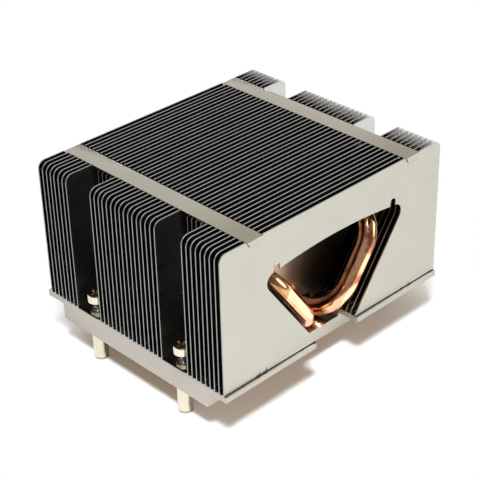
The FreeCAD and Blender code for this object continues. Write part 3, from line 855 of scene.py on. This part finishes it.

# White floor: the camera sees its own plain white. Nearer to the piece it shows more of
# the shadow there, and close by it glows with a painted warm light, which stands in for
# the light that the copper throws down.
pale_floor = new_material("pale_floor")
seen = add_node(pale_floor, "LightPath")
spread = add_node(pale_floor, "BsdfDiffuse", {"Color": linear("#F4F7F1")})
place = add_node(pale_floor, "TexCoord").outputs["Object"]
distance = add_node(pale_floor, "VectorMath", {0: place, 1: shadow_middle},
                    operation="DISTANCE")
share = add_node(pale_floor, "MapRange", {
    "Value": distance.outputs["Value"], "From Min": shadow_reach,
    "From Max": white_from, "To Min": least_white}, interpolation_type="SMOOTHSTEP")
beyond = add_node(pale_floor, "MapRange", {
    "Value": distance.outputs["Value"], "From Min": warm_reach,
    "From Max": neutral_from})
# Painted light: a warm glow close to the piece, fading to white further out.
hue = add_node(pale_floor, "Mix", {
    mix_share: beyond.outputs[0], mix_from: linear("#DE9468"),
    mix_to: linear("#FFFFFF")}, data_type="RGBA")
glow = add_node(pale_floor, "Emission", {
    "Color": hue.outputs[mixed], "Strength": seen.outputs["Is Camera Ray"]})
blend = add_node(pale_floor, "Mix", {
    0: seen.outputs["Is Camera Ray"], 2: unseen_white, 3: share.outputs[0]})
shade = add_node(pale_floor, "MixShader", {
    0: blend.outputs[0], 1: spread.outputs[0], 2: glow.outputs[0]})
add_node(pale_floor, "OutputMaterial", {"Surface": shade.outputs[0]})

ground = bmesh.new()
bmesh.ops.create_grid(ground, x_segments=1, y_segments=1, size=floor_half)
bmesh.ops.translate(ground, vec=(0, 0, floor_level), verts=ground.verts)
mesh = bpy.data.meshes.new("floor")
ground.to_mesh(mesh)
ground.free()
mesh.materials.append(pale_floor)
floor = bpy.data.objects.new("floor", mesh)
scene.collection.objects.link(floor)

# The surround is white to the camera, and lights the piece weakly and warmly. Metal
# mirrors it at less than white, and dimmest on the camera's side.
dim_side, least_light = (-0.59, -0.62, 0.52), 0.35
surround = bpy.data.worlds.new("pale_surround")
surround.use_nodes = True
surround.node_tree.nodes.clear()
scene.world = surround
path = add_node(surround, "LightPath")
mirrored = add_node(surround, "Math", {
    0: path.outputs["Is Glossy Ray"], 1: path.outputs["Is Transmission Ray"]},
    operation="MAXIMUM")
bearing = add_node(surround, "TexCoord").outputs["Generated"]
towards = add_node(surround, "VectorMath", {0: bearing, 1: dim_side},
                   operation="DOT_PRODUCT")
dimmed = add_node(surround, "MapRange", {
    "Value": towards.outputs["Value"], "From Min": 0.3, "From Max": 0.85,
    "To Min": 0.72, "To Max": 0.2}, interpolation_type="SMOOTHSTEP")
metal_sees = add_node(surround, "Math", {0: mirrored.outputs[0], 1: dimmed.outputs[0]},
                      operation="MULTIPLY")
fill = add_node(surround, "Math", {0: metal_sees.outputs[0], 1: least_light},
                operation="MAXIMUM")
level = add_node(surround, "Math", {
    0: fill.outputs[0], 1: path.outputs["Is Camera Ray"]}, operation="MAXIMUM")
lit = add_node(surround, "Mix", {
    mix_share: path.outputs["Is Diffuse Ray"], mix_from: linear("#FFFFFF"),
    mix_to: linear("#FFEAC8")}, data_type="RGBA")
sky = add_node(surround, "Background", {
    "Color": lit.outputs[mixed], "Strength": level.outputs[0]})
add_node(surround, "OutputWorld", {"Surface": sky.outputs[0]})


def add_lamp(name, spot, aim, size, power, code):
    """Adds a round soft lamp that shines from a spot towards another."""
    lamp = bpy.data.lights.new(name, "AREA")
    lamp.shape = "DISK"
    lamp.size = size
    lamp.energy = power
    lamp.color = linear(code)[:3]
    stand = bpy.data.objects.new(name, lamp)
    stand.location = spot
    beam = Vector(aim) - Vector(spot)
    stand.rotation_euler = beam.to_track_quat("-Z", "Y").to_euler()
    scene.collection.objects.link(stand)
    return stand


add_lamp("overhead_softbox", spot=(-0.35, -0.34, 0.9), aim=(0, 0, 0), size=0.22,
         power=17.6, code="#E8F0FD")
add_lamp("front_softbox", spot=(0.72, -0.75, 0.3), aim=(0, 0, 0.02), size=0.5,
         power=4.2, code="#F4F5FF")

# A lamp that stands in for the light that the white floor throws back up. Only the
# round copper and plated pieces get it.
bounce = add_lamp("floor_bounce", spot=(0.12, -0.16, floor_level + 1 * mm),
                  aim=(0.12, -0.16, 1), size=0.3, power=0.23, code="#FFF3E8")
bounce.visible_camera = False
round_pieces = bpy.data.collections.new("round_pieces")
for piece in list(scene.collection.all_objects):
    if piece.name.startswith(("copper_", "plated_")):
        round_pieces.objects.link(piece)
bounce.light_linking.receiver_collection = round_pieces

# The camera stands high at the front left and looks down on the windowed corner.
camera_data = bpy.data.cameras.new("camera")
camera_data.lens = 104.1
camera_data.sensor_width = 36.0
camera_data.clip_start = 0.02
camera = bpy.data.objects.new("camera", camera_data)
azimuth, elevation = math.radians(-43.561), math.radians(31.135)
roll = math.radians(-1.583)
target, reach = Vector((-6.64, -6.40, 34.03)) * mm, 501.55 * mm
back = Vector((math.sin(azimuth) * math.cos(elevation),
               -math.cos(azimuth) * math.cos(elevation), math.sin(elevation)))
right = (-back).cross(Vector((0, 0, 1))).normalized()
up = right.cross(-back)
tilted = right * math.cos(roll) + up * math.sin(roll)
raised = up * math.cos(roll) - right * math.sin(roll)
turn = Matrix((tilted, raised, back)).transposed().to_4x4()
camera.matrix_world = Matrix.Translation(target + back * reach) @ turn
scene.collection.objects.link(camera)
scene.camera = camera
scene.view_settings.view_transform = "Standard"
